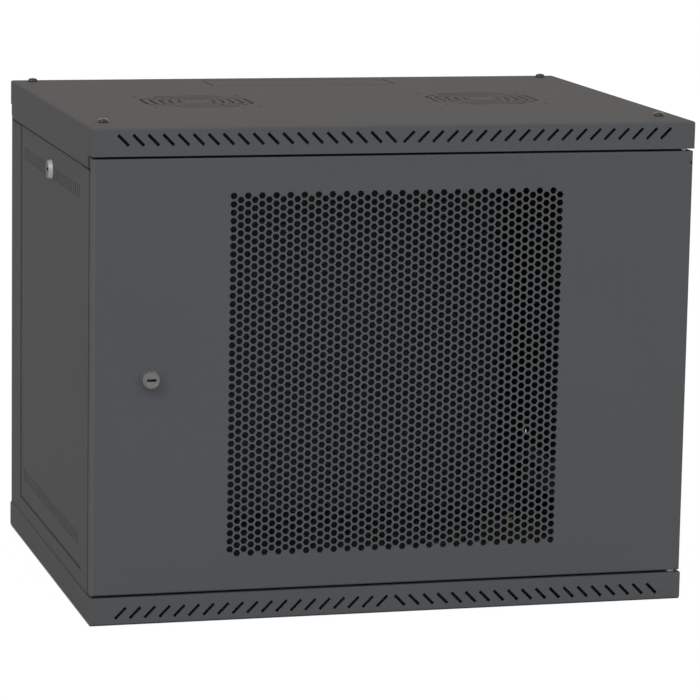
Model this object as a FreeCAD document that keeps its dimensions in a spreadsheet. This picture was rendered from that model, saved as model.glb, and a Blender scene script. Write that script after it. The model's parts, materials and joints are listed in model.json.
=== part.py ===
"""Wall-mounted 19-inch network cabinet, nine rack units high, as a parametric document.

Axes: X to the right, Y to the back, Z up.  The origin is the middle of the base the cabinet rests on.
The front of the door is at -depth / 2 and its hinge is on the right.
All driving sizes are millimetres (or degrees) in the sheet "Sizes".
"""
import FreeCAD, Part
import math
import os

import Sketcher

SIZES = [
    ("width", 600, "overall width of the caps"),
    ("depth", 450, "overall depth of the caps"),
    ("height", 480, "overall height of the caps"),
    ("sheet", 1.2, "steel sheet of covers, frames and door"),
    ("fold_radius", 2.2, "outer radius of the covers' folded edges"),
    ("cap_front", 27, "height of the covers' front flanges"),
    ("cap_side", 39.3, "height of the top cover's side flanges"),
    ("cap_rear", 25, "height of the covers' rear flanges"),
    ("cap_setback", 4.5, "side flanges end this far before the rear face"),
    ("cap_return", 17.5, "depth of the folded lip behind the front flanges"),
    ("rear_gap", 0.05, "seam between rear panel and rear flanges"),
    ("unit_height", 44.45, "one rack unit"),
    ("end_allowance", 79, "height taken by both covers and the crossbars"),
    ("hole_spread", 465.1, "rack hole line to rack hole line"),
    ("hole_side", 9.5, "square rack holes"),
    ("hole_step", 15.875, "rack hole pitch within a unit"),
    ("rail_clear", 450, "opening between the rails"),
    ("rail_sheet", 2, "steel of the rails"),
    ("rail_width", 21, "front flange of a rail"),
    ("rail_flange", 30, "side flange of a rail"),
    ("rail_bolt", 18, "rail bolts behind a rail's face"),
    ("rail_front", 50, "front rails behind the front face"),
    ("rail_rear", 75, "rear rails before the rear face"),
    ("rail_travel", 60, "depth adjustment of each rail"),
    ("bracket_height", 40, "height of a depth bracket"),
    ("bracket_sheet", 1.5, "steel of the depth brackets"),
    ("bracket_inset", 12, "depth bracket from the rail's end"),
    ("bracket_front_tab", 38, "front tab of a depth bracket"),
    ("bracket_rear_tab", 15, "rear tab of a depth bracket"),
    ("frame_front", 40, "front flange of a side frame"),
    ("frame_rear", 14, "rear flange of a side frame"),
    ("frame_top", 30, "top and bottom flanges of a side frame"),
    ("crossbar_gap", 4, "crossbars clear of the rails' ends"),
    ("crossbar_flange", 20, "flange of a crossbar"),
    ("crossbar_end", 10, "crossbars end this far inside the frames"),
    ("opening_length", 342, "opening of a side frame along the cabinet"),
    ("opening_bottom", 42.4, "lower edge of that opening"),
    ("opening_top", 38, "upper edge of that opening below the top"),
    ("pocket_depth", 14, "depth of the folded pocket round the opening"),
    ("pocket_lip", 12, "lip that a side panel seats on"),
    ("panel_gap", 2, "side panel from the opening's edges"),
    ("panel_recess", 1, "side panel behind the frame's skin"),
    ("seat_gap", 0.3, "gap of a piece that rests loosely on its seat"),
    ("foot_length", 30, "foot of a side panel"),
    ("foot_spacing", 240, "distance between a side panel's feet"),
    ("vent_pitch", 10, "pitch of the side vents"),
    ("vent_width", 3, "width of a side vent"),
    ("vent_height", 13, "height of a side vent"),
    ("vent_margin", 19, "vent rows from the panel's front and rear edges"),
    ("vent_low", 25.6, "lower vent row above the panel's lower edge"),
    ("vent_high", 29, "upper vent row below the panel's upper edge"),
    ("vent_lock_gap", 20, "first upper vent beside the side lock"),
    ("door_depth", 17, "depth of the door"),
    ("door_gap", 2.4, "door from the covers' front flanges"),
    ("door_side_gap", 1, "door inside the cabinet's width"),
    ("door_setback", 4, "door before the frame"),
    ("door_lip", 18, "folded lip behind the door's edges"),
    ("mesh_width", 333, "width of the perforated field"),
    ("mesh_height", 360, "height of the perforated field"),
    ("mesh_pitch", 32, "pitch of the hexagons"),
    ("mesh_hole", 24.8, "hexagons across flats"),
    ("stiffener_inset", 15, "stiffener beside the perforated field"),
    ("stiffener_width", 22, "width of a door stiffener"),
    ("stiffener_depth", 11, "depth of a door stiffener"),
    ("slot_length", 15, "length of a slanted slot in the front flanges"),
    ("slot_width", 3, "width of a slanted slot"),
    ("slot_pitch", 14.5, "pitch of the slanted slots"),
    ("slot_first", 9, "first slanted slot from the middle"),
    ("slot_margin", 25, "last slanted slot from the side"),
    ("slot_edge", 11.6, "slanted slots from the outer edge of the flange"),
    ("fan_spacing", 300, "distance between the fan grilles"),
    ("fan_holes", 105, "spacing of the fan screw holes"),
    ("fan_hole", 4.5, "fan screw holes"),
    ("ring_inner", 17.5, "innermost fan slit across flats, halved"),
    ("ring_step", 9, "pitch of the fan slits"),
    ("ring_slit", 3, "width of a fan slit"),
    ("ring_bridge", 5, "bridges between fan slits"),
    ("entry_width", 200, "cable knock-out"),
    ("entry_depth", 57, "cable knock-out"),
    ("entry_rear", 23, "cable knock-out from the rear face"),
    ("entry_slit", 2, "slit round the knock-out"),
    ("entry_bridge", 4, "corner bridges of the knock-out"),
    ("screw_side", 20, "cover screws from the sides"),
    ("screw_front", 50, "front cover screws from the front face"),
    ("screw_rear", 18, "rear cover screws from the rear face"),
    ("cover_screw", 5, "shank of the cover screws"),
    ("screw_length", 10, "shank of the cover screws"),
    ("screw_head", 10.4, "pan head of the cover screws"),
    ("screw_head_height", 3.7, "pan head of the cover screws"),
    ("screw_head_edge", 1.3, "upright edge of that head"),
    ("screw_head_flat", 6, "flat on top of that head"),
    ("screw_clearance", 0.2, "radial clearance of screw holes"),
    ("wall_side", 26, "wall keyholes from the sides"),
    ("wall_low", 82.5, "lower wall keyholes above the base"),
    ("wall_high", 82.5, "upper wall keyholes below the top"),
    ("wall_hole", 13.5, "round end of a wall keyhole"),
    ("wall_slot", 8, "narrow end of a wall keyhole"),
    ("wall_rise", 12, "narrow end above the round end"),
    ("hinge_edge", 8, "hinge axis inside the door's edge"),
    ("pin_size", 6, "hinge pins"),
    ("running_gap", 0.05, "radial clearance of a running fit"),
    ("pin_bracket", 2, "plate of the hinge brackets"),
    ("pin_plate", 20, "width of the hinge brackets"),
    ("pin_flange", 20, "height of the hinge brackets' flanges"),
    ("pin_reach", 6, "hinge pins past their brackets"),
    ("pin_travel", 9.5, "upper pin pulled down to free the door"),
    ("pin_collar", 10, "collars of the hinge pins"),
    ("pin_guide", 10, "upper guide lug below the door's top"),
    ("pin_spring", 33, "length of the pin's spring"),
    ("pin_finger", 26, "finger bar of the upper pin"),
    ("pin_grip", 14, "finger bar below the lower lug with the pin pulled down"),
    ("pin_engaged", 4, "upper pin past its bracket"),
    ("pin_point", 1, "chamfer at the end of the upper pin"),
    ("spring_wire", 1.1, "wire of the pin's spring"),
    ("lock_side", 56, "door lock from the door's lock edge"),
    ("lock_proud", 9, "door lock before the door"),
    ("lock_size", 19, "bezel of the door lock"),
    ("lock_face", 17, "turning face of a door lock"),
    ("lock_barrel", 16, "barrel of a lock"),
    ("lock_core", 12, "core of a lock"),
    ("lock_well", 2, "turning face sunk into its housing"),
    ("lock_nut", 22, "hexagon of a lock's nut across flats"),
    ("lock_nut_height", 4, "height of a lock's nut"),
    ("key_length", 10, "key slot"),
    ("key_width", 2.4, "key slot"),
    ("key_depth", 4, "key slot"),
    ("cam_length", 32, "reach of a lock's cam"),
    ("cam_width", 14, "width of a lock's cam"),
    ("cam_thick", 2, "thickness of a lock's cam"),
    ("cam_gap", 0.5, "side lock's cam behind its pocket, and a cam behind its housing"),
    ("cam_clear", 1.8, "door lock's cam behind the frame's flange"),
    ("cam_square", 7, "square that drives the cam"),
    ("cam_screw", 3, "screw that holds the cam"),
    ("cam_screw_head", 9.8, "head of that screw"),
    ("cam_screw_length", 8, "shank of that screw"),
    ("side_lock_size", 20, "bezel of a side lock"),
    ("side_lock_proud", 4, "side lock before its panel"),
    ("side_lock_drop", 26.3, "side lock below its panel's upper edge"),
    ("bumper_size", 10, "rubber door bumper"),
    ("bumper_end", 60, "bumpers from the ends of the door"),
    ("bumper_edge", 2, "upright edge of a bumper"),
    ("bumper_flat", 7, "flat face of a bumper"),
    ("earth_side", 58, "earth stud from the right side"),
    ("earth_rear", 73, "earth stud from the rear face"),
    ("earth_length", 18, "length of the earth stud"),
    ("nut_flats", 10, "M6 hexagons across flats"),
    ("nut_height", 5, "M6 nuts"),
    ("bolt_size", 6, "rail bolts and earth stud"),
    ("bolt_head", 4, "heads of the rail bolts"),
    ("bolt_end", 1, "rail bolts past their nuts"),
    ("washer_size", 16, "earth washer"),
    ("washer_thick", 1.6, "earth washer"),
]

doc = FreeCAD.newDocument("NetworkCabinet")
sheet = doc.addObject("Spreadsheet::Sheet", "Sizes")
NODES = []


def fill_sheet():
    """Write the driving sizes: alias, value and what it is."""
    for row, (alias, value, meaning) in enumerate(SIZES, start=1):
        sheet.set(f"A{row}", alias)
        sheet.set(f"B{row}", str(value))
        sheet.set(f"C{row}", meaning)
        sheet.setAlias(f"B{row}", alias)
    doc.recompute()


def cell(expression):
    """Point the bare aliases of an expression at the sheet."""
    words = {alias for alias, value, meaning in SIZES}
    out, word = [], ""
    for letter in expression + " ":
        if letter.isalnum() or letter in "_.":
            word += letter
            continue
        out.append("Sizes." + word if word in words else word)
        out.append(letter)
        word = ""
    return "".join(out).strip()


def value_of(expression):
    """The number that an expression on the sheet gives now."""
    return float(sheet.evalExpression(cell(expression)))


# Places that several pieces share, as expressions on the sheet.
HALF = "(width / 2)"
SKIN = "(width / 2 - sheet)"
SKIN_IN = "(width / 2 - 2 * sheet)"
FRONT = "(-depth / 2)"
REAR = "(depth / 2)"
CAP_REAR_IN = "(depth / 2 - sheet)"
FRAME_Y = "(-depth / 2 + door_depth + door_setback)"
FRAME_BACK = "(-depth / 2 + door_depth + door_setback + sheet)"
CAP_LOW = "(height - cap_front)"
POCKET_X = "(width / 2 - sheet - pocket_depth)"
OPEN_Z0 = "opening_bottom"
OPEN_Z1 = "(height - opening_top)"
DOOR_X = "(width / 2 - door_side_gap)"
DOOR_Z0 = "(cap_front + door_gap)"
DOOR_Z1 = "(height - cap_front - door_gap)"
DOOR_IN = "(-depth / 2 + sheet)"
DOOR_BACK = "(-depth / 2 + door_depth)"
PIN_X = "(width / 2 - door_side_gap - hinge_edge)"
PIN_Y = "(-depth / 2 + door_depth / 2)"
PANEL_X = "(width / 2 - sheet - panel_recess)"
PANEL_Y = "(opening_length / 2 - panel_gap)"
PANEL_Z0 = "(opening_bottom + panel_gap)"
PANEL_Z1 = "(height - opening_top - panel_gap)"
UNITS = "floor((height - end_allowance) / unit_height)"
RAIL_HALF = f"({UNITS} * unit_height / 2)"
RAIL_IN = "(rail_clear / 2)"
RAIL_OUT = "(rail_clear / 2 + rail_width)"
BRACKET_Z = f"({RAIL_HALF} - bracket_inset - bracket_height / 2)"
FRONT_RAIL = "(-depth / 2 + rail_front)"
REAR_RAIL = "(depth / 2 - rail_rear)"


def origin_part(body, role):
    return next(part for part in body.Origin.OriginFeatures if part.Role == role)


def new_body(node):
    """A body that is written out as one node."""
    body = doc.addObject("PartDesign::Body", node)
    body.Label = node
    NODES.append(body)
    return body


def tie(target, prop, expression):
    target.setExpression(prop, cell(expression))


def on_side(side, expression):
    return f"({expression})" if side > 0 else f"-({expression})"


def span(side, inner, outer):
    """The lower and upper end of a stretch that lies left (-1) or right (1) of the middle."""
    return (inner, outer) if side > 0 else (f"-({outer})", f"-({inner})")


def rect(x0, y0, x1, y1):
    return [(x0, y0), (x1, y0), (x1, y1), (x0, y1)]


def hexagon(x, y, flats):
    """A hexagon with flat top and bottom."""
    return [(f"{x} + {flats} / sqrt(3) * cos({angle})", f"{y} + {flats} / sqrt(3) * sin({angle})")
            for angle in range(0, 360, 60)]


def draw_polygon(sketch, points):
    """A closed outline whose corners are each tied to the sheet."""
    first = sketch.GeometryCount
    count = len(points)
    spots = [FreeCAD.Vector(value_of(x), value_of(y), 0) for x, y in points]
    sketch.addGeometry([Part.LineSegment(spots[i], spots[(i + 1) % count]) for i in range(count)], False)
    for i in range(count):
        sketch.addConstraint(Sketcher.Constraint("Coincident", first + i, 2, first + (i + 1) % count, 1))
    for i, (x, y) in enumerate(points):
        for kind, expression, number in (("DistanceX", x, spots[i].x), ("DistanceY", y, spots[i].y)):
            index = sketch.addConstraint(Sketcher.Constraint(kind, -1, 1, first + i, 1, number))
            tie(sketch, f"Constraints[{index}]", expression)


def draw_circle(sketch, x, y, radius):
    spot = FreeCAD.Vector(value_of(x), value_of(y), 0)
    ring = sketch.addGeometry(Part.Circle(spot, FreeCAD.Vector(0, 0, 1), value_of(radius)), False)
    for kind, expression, number in (("DistanceX", x, spot.x), ("DistanceY", y, spot.y)):
        index = sketch.addConstraint(Sketcher.Constraint(kind, -1, 1, ring, 3, number))
        tie(sketch, f"Constraints[{index}]", expression)
    index = sketch.addConstraint(Sketcher.Constraint("Radius", ring, value_of(radius)))
    tie(sketch, f"Constraints[{index}]", radius)


def draw(body, name, plane, loops, shift=("0", "0", "0")):
    """A sketch on an origin plane, shifted in the plane's own axes; a loop is corners or a circle."""
    sketch = body.newObject("Sketcher::SketchObject", name)
    sketch.AttachmentSupport = (origin_part(body, plane), "")
    sketch.MapMode = "FlatFace"
    for axis, expression in zip("xyz", shift):
        tie(sketch, f"AttachmentOffset.Base.{axis}", expression)
    for loop in loops:
        if isinstance(loop, tuple):
            draw_circle(sketch, *loop)
        else:
            draw_polygon(sketch, loop)
    return sketch


# plane, sign of the plane's normal along the axis
NORMALS = {"X": ("YZ_Plane", 1), "Y": ("XZ_Plane", -1), "Z": ("XY_Plane", 1)}


def extrude(body, name, kind, axis, low, high, loops, centre=("0", "0")):
    """Pad or Pocket between two places on an axis; the loops are (Y, Z), (X, Z) or (X, Y)."""
    plane, normal = NORMALS[axis]
    adds = kind == "Pad"
    start = low if adds or normal < 0 else high
    shift = (centre[0], centre[1], f"{normal} * ({start})")
    feature = body.newObject(f"PartDesign::{kind}", name)
    sketch = draw(body, name + "Sketch", plane, loops, shift)
    feature.Profile = sketch
    tie(feature, "Length", f"({high}) - ({low})")
    feature.Reversed = adds and normal < 0
    sketch.Visibility = False
    body.Tip = feature
    return feature


def pad(body, name, axis, low, high, *loops, centre=("0", "0")):
    return extrude(body, name, "Pad", axis, low, high, loops, centre)


def cut(body, name, axis, low, high, *loops, centre=("0", "0")):
    return extrude(body, name, "Pocket", axis, low, high, loops, centre)


def turn(body, name, axis, profile, centre):
    """Revolve a profile of (radius, place along the axis) about an axis through a centre."""
    x, y, z = centre
    if axis == "Z":
        sketch = draw(body, name + "Sketch", "XZ_Plane", [profile], (x, z, f"-({y})"))
    elif axis == "Y":
        sketch = draw(body, name + "Sketch", "XY_Plane", [profile], (x, y, z))
    else:
        sideways = [(along, radius) for radius, along in profile]
        sketch = draw(body, name + "Sketch", "XY_Plane", [sideways], (x, y, z))
    feature = body.newObject("PartDesign::Revolution", name)
    feature.Profile = sketch
    feature.ReferenceAxis = (sketch, ["H_Axis" if axis == "X" else "V_Axis"])
    feature.Angle = 360
    body.Tip = feature
    return feature


def row(body, name, original, axis, step, count, backwards=False):
    """Repeat a feature along an axis of the body."""
    feature = body.newObject("PartDesign::LinearPattern", name)
    feature.Originals = [original]
    feature.Direction = (origin_part(body, axis + "_Axis"), [""])
    feature.Reversed = backwards
    feature.Mode = "Spacing"
    tie(feature, "Offset", step)
    tie(feature, "Occurrences", count)
    body.Tip = feature
    return feature


def edges_where(shape, test):
    names = []
    for number, edge in enumerate(shape.Edges, start=1):
        if test(edge.BoundBox):
            names.append(f"Edge{number}")
    return names


def pan(body, low, high, floor_at_top):
    """A folded tray as wide and deep as the cabinet, open at the bottom or the top."""
    block = pad(body, "Block", "Z", low, high, rect(f"-{HALF}", FRONT, HALF, REAR))
    doc.recompute()
    box = block.Shape.BoundBox
    closed = box.ZMax if floor_at_top else box.ZMin

    def folded(edge):
        return abs(edge.ZMin - closed) < 0.01 and abs(edge.ZMax - closed) < 0.01

    fillet = body.newObject("PartDesign::Fillet", "Folds")
    fillet.Base = (block, edges_where(block.Shape, folded))
    tie(fillet, "Radius", "fold_radius")
    doc.recompute()
    opened = box.ZMin if floor_at_top else box.ZMax
    faces = [f"Face{number}" for number, face in enumerate(fillet.Shape.Faces, start=1)
             if face.BoundBox.ZLength < 0.01 and abs(face.BoundBox.ZMin - opened) < 0.01]
    shell = body.newObject("PartDesign::Thickness", "Shell")
    shell.Base = (fillet, faces)
    tie(shell, "Value", "sheet")
    shell.Reversed = True
    body.Tip = shell
    doc.recompute()
    return shell


def slanted_slots(body, centre_z, lean):
    """Two rows of slots in a front flange that lean away from the middle, mirrored."""
    for side, hand in ((-1, "Left"), (1, "Right")):
        slope = lean * side
        points = []
        for along, across in ((-1, -1), (1, -1), (1, 1), (-1, 1)):
            run = f"{along} * slot_length / 2 * cos(45) - {across} * slot_width / 2 * sin(45)"
            rise = f"{along} * slot_length / 2 * sin(45) + {across} * slot_width / 2 * cos(45)"
            points.append((f"{slope} * ({run})", rise))
        slot = cut(body, f"Slot{hand}", "Y", FRONT, f"{FRONT} + sheet", points,
                   centre=(on_side(side, "slot_first"), centre_z))
        count = "floor((width / 2 - slot_first - slot_margin) / slot_pitch) + 1"
        row(body, f"Slots{hand}", slot, "X", "slot_pitch", count, backwards=side < 0)


def fan_slit(ring):
    """One bracket-shaped slit of an octagon ring, round the +X direction."""
    half = "ring_bridge / 2"
    outer = f"(ring_inner + {ring} * ring_step + ring_slit / 2)"
    inner = f"(ring_inner + {ring} * ring_step - ring_slit / 2)"
    points = []
    for flats, order in ((outer, 1), (inner, -1)):
        end = (f"{flats} * cos(45) + {half} * sin(45)", f"{flats} * sin(45) - {half} * cos(45)")
        corner = (flats, f"{flats} * tan(22.5)")
        below = [(end[0], f"-({end[1]})"), (corner[0], f"-({corner[1]})")]
        quarter = below + [corner, end]
        points += quarter[::order]
    return points


def fan_grilles(body, low, high, takes_fans):
    """Five octagon rings of slits on each side, with four screw holes where fans are fitted."""
    loops = [fan_slit(ring) for ring in range(5)]
    if takes_fans:
        loops.append(("fan_holes / 2", "fan_holes / 2", "fan_hole / 2"))
    for side, hand in ((-1, "Left"), (1, "Right")):
        grille = cut(body, f"Fan{hand}", "Z", low, high, *loops,
                     centre=(on_side(side, "fan_spacing / 2"), "0"))
        quarters = body.newObject("PartDesign::PolarPattern", f"Fan{hand}Turned")
        quarters.Originals = [grille]
        quarters.Axis = (grille.Profile[0], ["N_Axis"])
        quarters.Angle = 360
        quarters.Occurrences = 4
        body.Tip = quarters


def knock_out(body, low, high):
    """Four slits that leave a cable plate hanging on its corner bridges."""
    x1, x0 = "entry_width / 2", "(entry_width / 2 - entry_slit)"
    y1, y0 = f"({REAR} - entry_rear)", f"({REAR} - entry_rear - entry_depth)"
    end = f"{x1} - entry_bridge"
    cut(body, "KnockOut", "Z", low, high,
        rect(f"-({end})", y0, end, f"{y0} + entry_slit"),
        rect(f"-({end})", f"{y1} - entry_slit", end, y1),
        rect(f"-{x1}", f"{y0} + entry_bridge", f"-{x0}", f"{y1} - entry_bridge"),
        rect(x0, f"{y0} + entry_bridge", x1, f"{y1} - entry_bridge"))


def screw_places():
    return [(on_side(side, "width / 2 - screw_side"), y)
            for side in (-1, 1) for y in (f"{FRONT} + screw_front", f"{REAR} - screw_rear")]


def screw_holes(body, low, high):
    radius = "cover_screw / 2 + screw_clearance"
    cut(body, "ScrewHoles", "Z", low, high, *[(x, y, radius) for x, y in screw_places()])


def pin_notch():
    """Square hole that a hinge pin passes with room to spare."""
    half = "(pin_size / 2 + seat_gap)"
    return rect(f"{PIN_X} - {half}", f"{PIN_Y} - {half}", f"{PIN_X} + {half}", f"{PIN_Y} + {half}")


def top_cover():
    body = new_body("top_cover")
    pan(body, "height - cap_side", "height", True)
    low = "(height - cap_side)"
    heel = "(depth / 2 - cap_setback)"
    cut(body, "FrontStep", "X", f"-{HALF}", HALF, rect(FRONT, low, FRAME_Y, CAP_LOW))
    cut(body, "RearStep", "X", f"-{HALF}", HALF,
        [(f"{heel} - cap_setback", low), (REAR, low), (REAR, "height - cap_rear"),
         (heel, "height - cap_rear"), (heel, f"{low} + cap_setback")])
    pad(body, "FrontReturn", "Z", CAP_LOW, f"{CAP_LOW} + sheet",
        rect(f"-{SKIN}", DOOR_IN, SKIN, f"{FRONT} + cap_return"))
    cut(body, "PinHole", "Z", CAP_LOW, f"{CAP_LOW} + sheet", pin_notch())
    slanted_slots(body, "height - slot_edge", 1)
    skin = ("height - sheet", "height")
    fan_grilles(body, *skin, takes_fans=True)
    knock_out(body, *skin)
    screw_holes(body, *skin)


def bottom_cover():
    body = new_body("bottom_cover")
    pan(body, "0", "cap_front", False)
    cut(body, "RearStep", "X", f"-{HALF}", HALF,
        rect("depth / 2 - cap_setback", "cap_rear", REAR, "cap_front"))
    pad(body, "FrontReturn", "Z", "cap_front - sheet", "cap_front",
        rect(f"-{SKIN}", DOOR_IN, SKIN, f"{FRONT} + cap_return"))
    cut(body, "PinHole", "Z", "cap_front - sheet", "cap_front", pin_notch())
    slanted_slots(body, "slot_edge", -1)
    fan_grilles(body, "0", "sheet", takes_fans=False)
    knock_out(body, "0", "sheet")


def side_frame(side, hand):
    """A folded side with flanges all round and a recessed pocket for its panel."""
    body = new_body(f"side_frame_{hand}")
    opening = rect("-opening_length / 2", OPEN_Z0, "opening_length / 2", OPEN_Z1)
    grown = rect("-opening_length / 2 - sheet", f"{OPEN_Z0} - sheet",
                 "opening_length / 2 + sheet", f"{OPEN_Z1} + sheet")
    shrunk = rect("-opening_length / 2 + pocket_lip", f"{OPEN_Z0} + pocket_lip",
                  "opening_length / 2 - pocket_lip", f"{OPEN_Z1} - pocket_lip")
    z0, z1 = "sheet", "(height - sheet)"
    pad(body, "Skin", "X", *span(side, SKIN_IN, SKIN), rect(FRAME_Y, z0, CAP_REAR_IN, z1), opening)
    pad(body, "PocketWall", "X", *span(side, POCKET_X, SKIN_IN), grown, opening)
    pad(body, "PocketLip", "X", *span(side, POCKET_X, f"{POCKET_X} + sheet"), opening, shrunk)
    front = span(side, f"{SKIN} - frame_front", SKIN_IN)
    rear = span(side, f"{SKIN} - frame_rear", SKIN_IN)
    top = span(side, f"{SKIN} - frame_top", SKIN_IN)
    pad(body, "FrontFlange", "Y", FRAME_Y, FRAME_BACK, rect(front[0], z0, front[1], z1))
    pad(body, "RearFlange", "Y", f"{CAP_REAR_IN} - sheet", CAP_REAR_IN, rect(rear[0], z0, rear[1], z1))
    for name, low in (("BottomFlange", z0), ("TopFlange", f"{z1} - sheet")):
        pad(body, name, "Z", low, f"{low} + sheet",
            rect(top[0], FRAME_BACK, top[1], f"{CAP_REAR_IN} - sheet"))
    radius = "cover_screw / 2 + screw_clearance"
    holes = [(x, y, radius) for x, y in screw_places() if x.startswith("-") == (side < 0)]
    holed = cut(body, "ScrewHoles", "Z", f"{z1} - sheet", z1, *holes)
    doc.recompute()
    box = holed.Shape.BoundBox
    skin_x = box.XMax if side > 0 else box.XMin

    def folded(edge):
        level = edge.ZLength < 0.01 and min(abs(edge.ZMin - box.ZMin), abs(edge.ZMax - box.ZMax)) < 0.01
        along = max(abs(edge.XMin - skin_x), abs(edge.XMax - skin_x)) < 0.01
        across = edge.YLength < 0.01 and abs(edge.YMax - box.YMax) < 0.01
        return level and (along or across)

    chamfer = body.newObject("PartDesign::Chamfer", "Folds")
    chamfer.Base = (holed, edges_where(holed.Shape, folded))
    tie(chamfer, "Size", "fold_radius - sheet")
    body.Tip = chamfer


def rear_panel():
    """Closed back with four keyholes for wall screws."""
    body = new_body("rear_panel")
    z0, z1 = "(cap_rear + rear_gap)", "(height - cap_rear - rear_gap)"
    pad(body, "Plate", "Y", CAP_REAR_IN, REAR, rect(f"-{SKIN}", z0, SKIN, z1))
    rounds, slots = [], []
    for side in (-1, 1):
        x = on_side(side, "width / 2 - wall_side")
        for z in ("wall_low", "(height - wall_high)"):
            rounds.append((x, z, "wall_hole / 2"))
            slots.append(rect(f"{x} - wall_slot / 2", z, f"{x} + wall_slot / 2", f"{z} + wall_rise"))
    cut(body, "KeyholeRounds", "Y", CAP_REAR_IN, REAR, *rounds)
    cut(body, "KeyholeSlots", "Y", CAP_REAR_IN, REAR, *slots)


def crossbar(node, upper):
    """Angle across the front, behind the frames' flanges."""
    body = new_body(node)
    end = f"({SKIN_IN} - crossbar_end)"
    inner = f"({RAIL_HALF} + crossbar_gap)"
    if upper:
        near, far = f"(height / 2 + {inner})", "(height - 2 * sheet)"
        flange = (near, f"{near} + sheet")
    else:
        near, far = "(2 * sheet)", f"(height / 2 - {inner})"
        flange = (f"{far} - sheet", far)
    pad(body, "Web", "Y", FRAME_BACK, f"{FRAME_BACK} + sheet", rect(f"-{end}", near, end, far))
    pad(body, "Flange", "Z", *flange,
        rect(f"-{end}", f"{FRAME_BACK} + sheet", end, f"{FRAME_BACK} + crossbar_flange"))


def depth_bracket(side, hand, sign, level):
    """Channel from the front flange to the back that the rails slide on."""
    body = new_body(f"depth_bracket_{level}_{hand}")
    middle = f"(height / 2 + {sign} * {BRACKET_Z})"
    z0, z1 = f"{middle} - bracket_height / 2", f"{middle} + bracket_height / 2"
    web = f"({RAIL_OUT} + bracket_sheet)"
    reach = "(bolt_size / 2 + screw_clearance)"
    front_bolt = f"({FRONT_RAIL} + rail_bolt)"
    rear_bolt = f"({REAR_RAIL} - rail_bolt)"
    slots = [rect(f"{low} - {reach}", f"{middle} - {reach}", f"{high} + {reach}", f"{middle} + {reach}")
             for low, high in ((front_bolt, f"{front_bolt} + rail_travel"),
                               (f"{rear_bolt} - rail_travel", rear_bolt))]
    pad(body, "Web", "X", *span(side, RAIL_OUT, web), rect(FRAME_BACK, z0, CAP_REAR_IN, z1), *slots)
    front = span(side, web, f"{RAIL_OUT} + bracket_front_tab")
    rear = span(side, web, f"{RAIL_OUT} + bracket_rear_tab")
    pad(body, "FrontTab", "Y", FRAME_BACK, f"{FRAME_BACK} + bracket_sheet", rect(front[0], z0, front[1], z1))
    pad(body, "RearTab", "Y", f"{CAP_REAR_IN} - bracket_sheet", CAP_REAR_IN, rect(rear[0], z0, rear[1], z1))


def rail(side, hand, place, face, back):
    """Rack rail: an angle with three square holes per rack unit; back is 1 or -1 along Y."""
    body = new_body(f"rail_{place}_{hand}")
    inner, outer = on_side(side, RAIL_IN), on_side(side, RAIL_OUT)
    inside = on_side(side, f"{RAIL_OUT} - rail_sheet")
    z0, z1 = f"(height / 2 - {RAIL_HALF})", f"(height / 2 + {RAIL_HALF})"
    flat, end = f"({face} + {back} * rail_sheet)", f"({face} + {back} * rail_flange)"
    pad(body, "Angle", "Z", z0, z1,
        [(inner, face), (outer, face), (outer, end), (inside, end), (inside, flat), (inner, flat)])
    x = on_side(side, "hole_spread / 2")
    holes = []
    for number in (-1, 0, 1):
        z = f"({z0} + unit_height / 2 + {number} * hole_step)"
        holes.append(rect(f"{x} - hole_side / 2", f"{z} - hole_side / 2",
                          f"{x} + hole_side / 2", f"{z} + hole_side / 2"))
    ends = (face, flat) if back > 0 else (flat, face)
    unit = cut(body, "UnitHoles", "Y", *ends, *holes)
    row(body, "RackHoles", unit, "Z", "unit_height", UNITS)
    half = "(bolt_size / 2 + screw_clearance)"
    y = f"({face} + {back} * rail_bolt)"
    bolts = [rect(f"{y} - {half}", f"height / 2 + {sign} * {BRACKET_Z} - {half}",
                  f"{y} + {half}", f"height / 2 + {sign} * {BRACKET_Z} + {half}") for sign in (-1, 1)]
    cut(body, "BoltHoles", "X", *span(side, f"{RAIL_OUT} - rail_sheet", RAIL_OUT), *bolts)


def group(node, master, places):
    """One node of equal separate pieces: links to a master at each place."""
    links = []
    for number, place in enumerate(places):
        link = doc.addObject("App::Link", f"{node}_{number}")
        link.LinkedObject = master
        for axis, expression in zip("xyz", place):
            tie(link, f"Placement.Base.{axis}", expression)
        links.append(link)
    holder = doc.addObject("Part::Compound", node)
    holder.Label = node
    holder.Links = links
    NODES.append(holder)
    return holder


def master_body(name):
    return doc.addObject("PartDesign::Body", name)


def cover_screws():
    """Pan-head screws that hold the top cover."""
    body = master_body("CoverScrewMaster")
    head, shank = "screw_head / 2", "cover_screw / 2"
    turn(body, "Screw", "Z",
         [("0", "-screw_length"), (shank, "-screw_length"), (shank, "0"), (head, "0"),
          (head, "screw_head_edge"), ("screw_head_flat / 2", "screw_head_height"),
          ("0", "screw_head_height")], ("0", "0", "0"))
    group("cover_screws", body, [(x, y, "height") for x, y in screw_places()])


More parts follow.
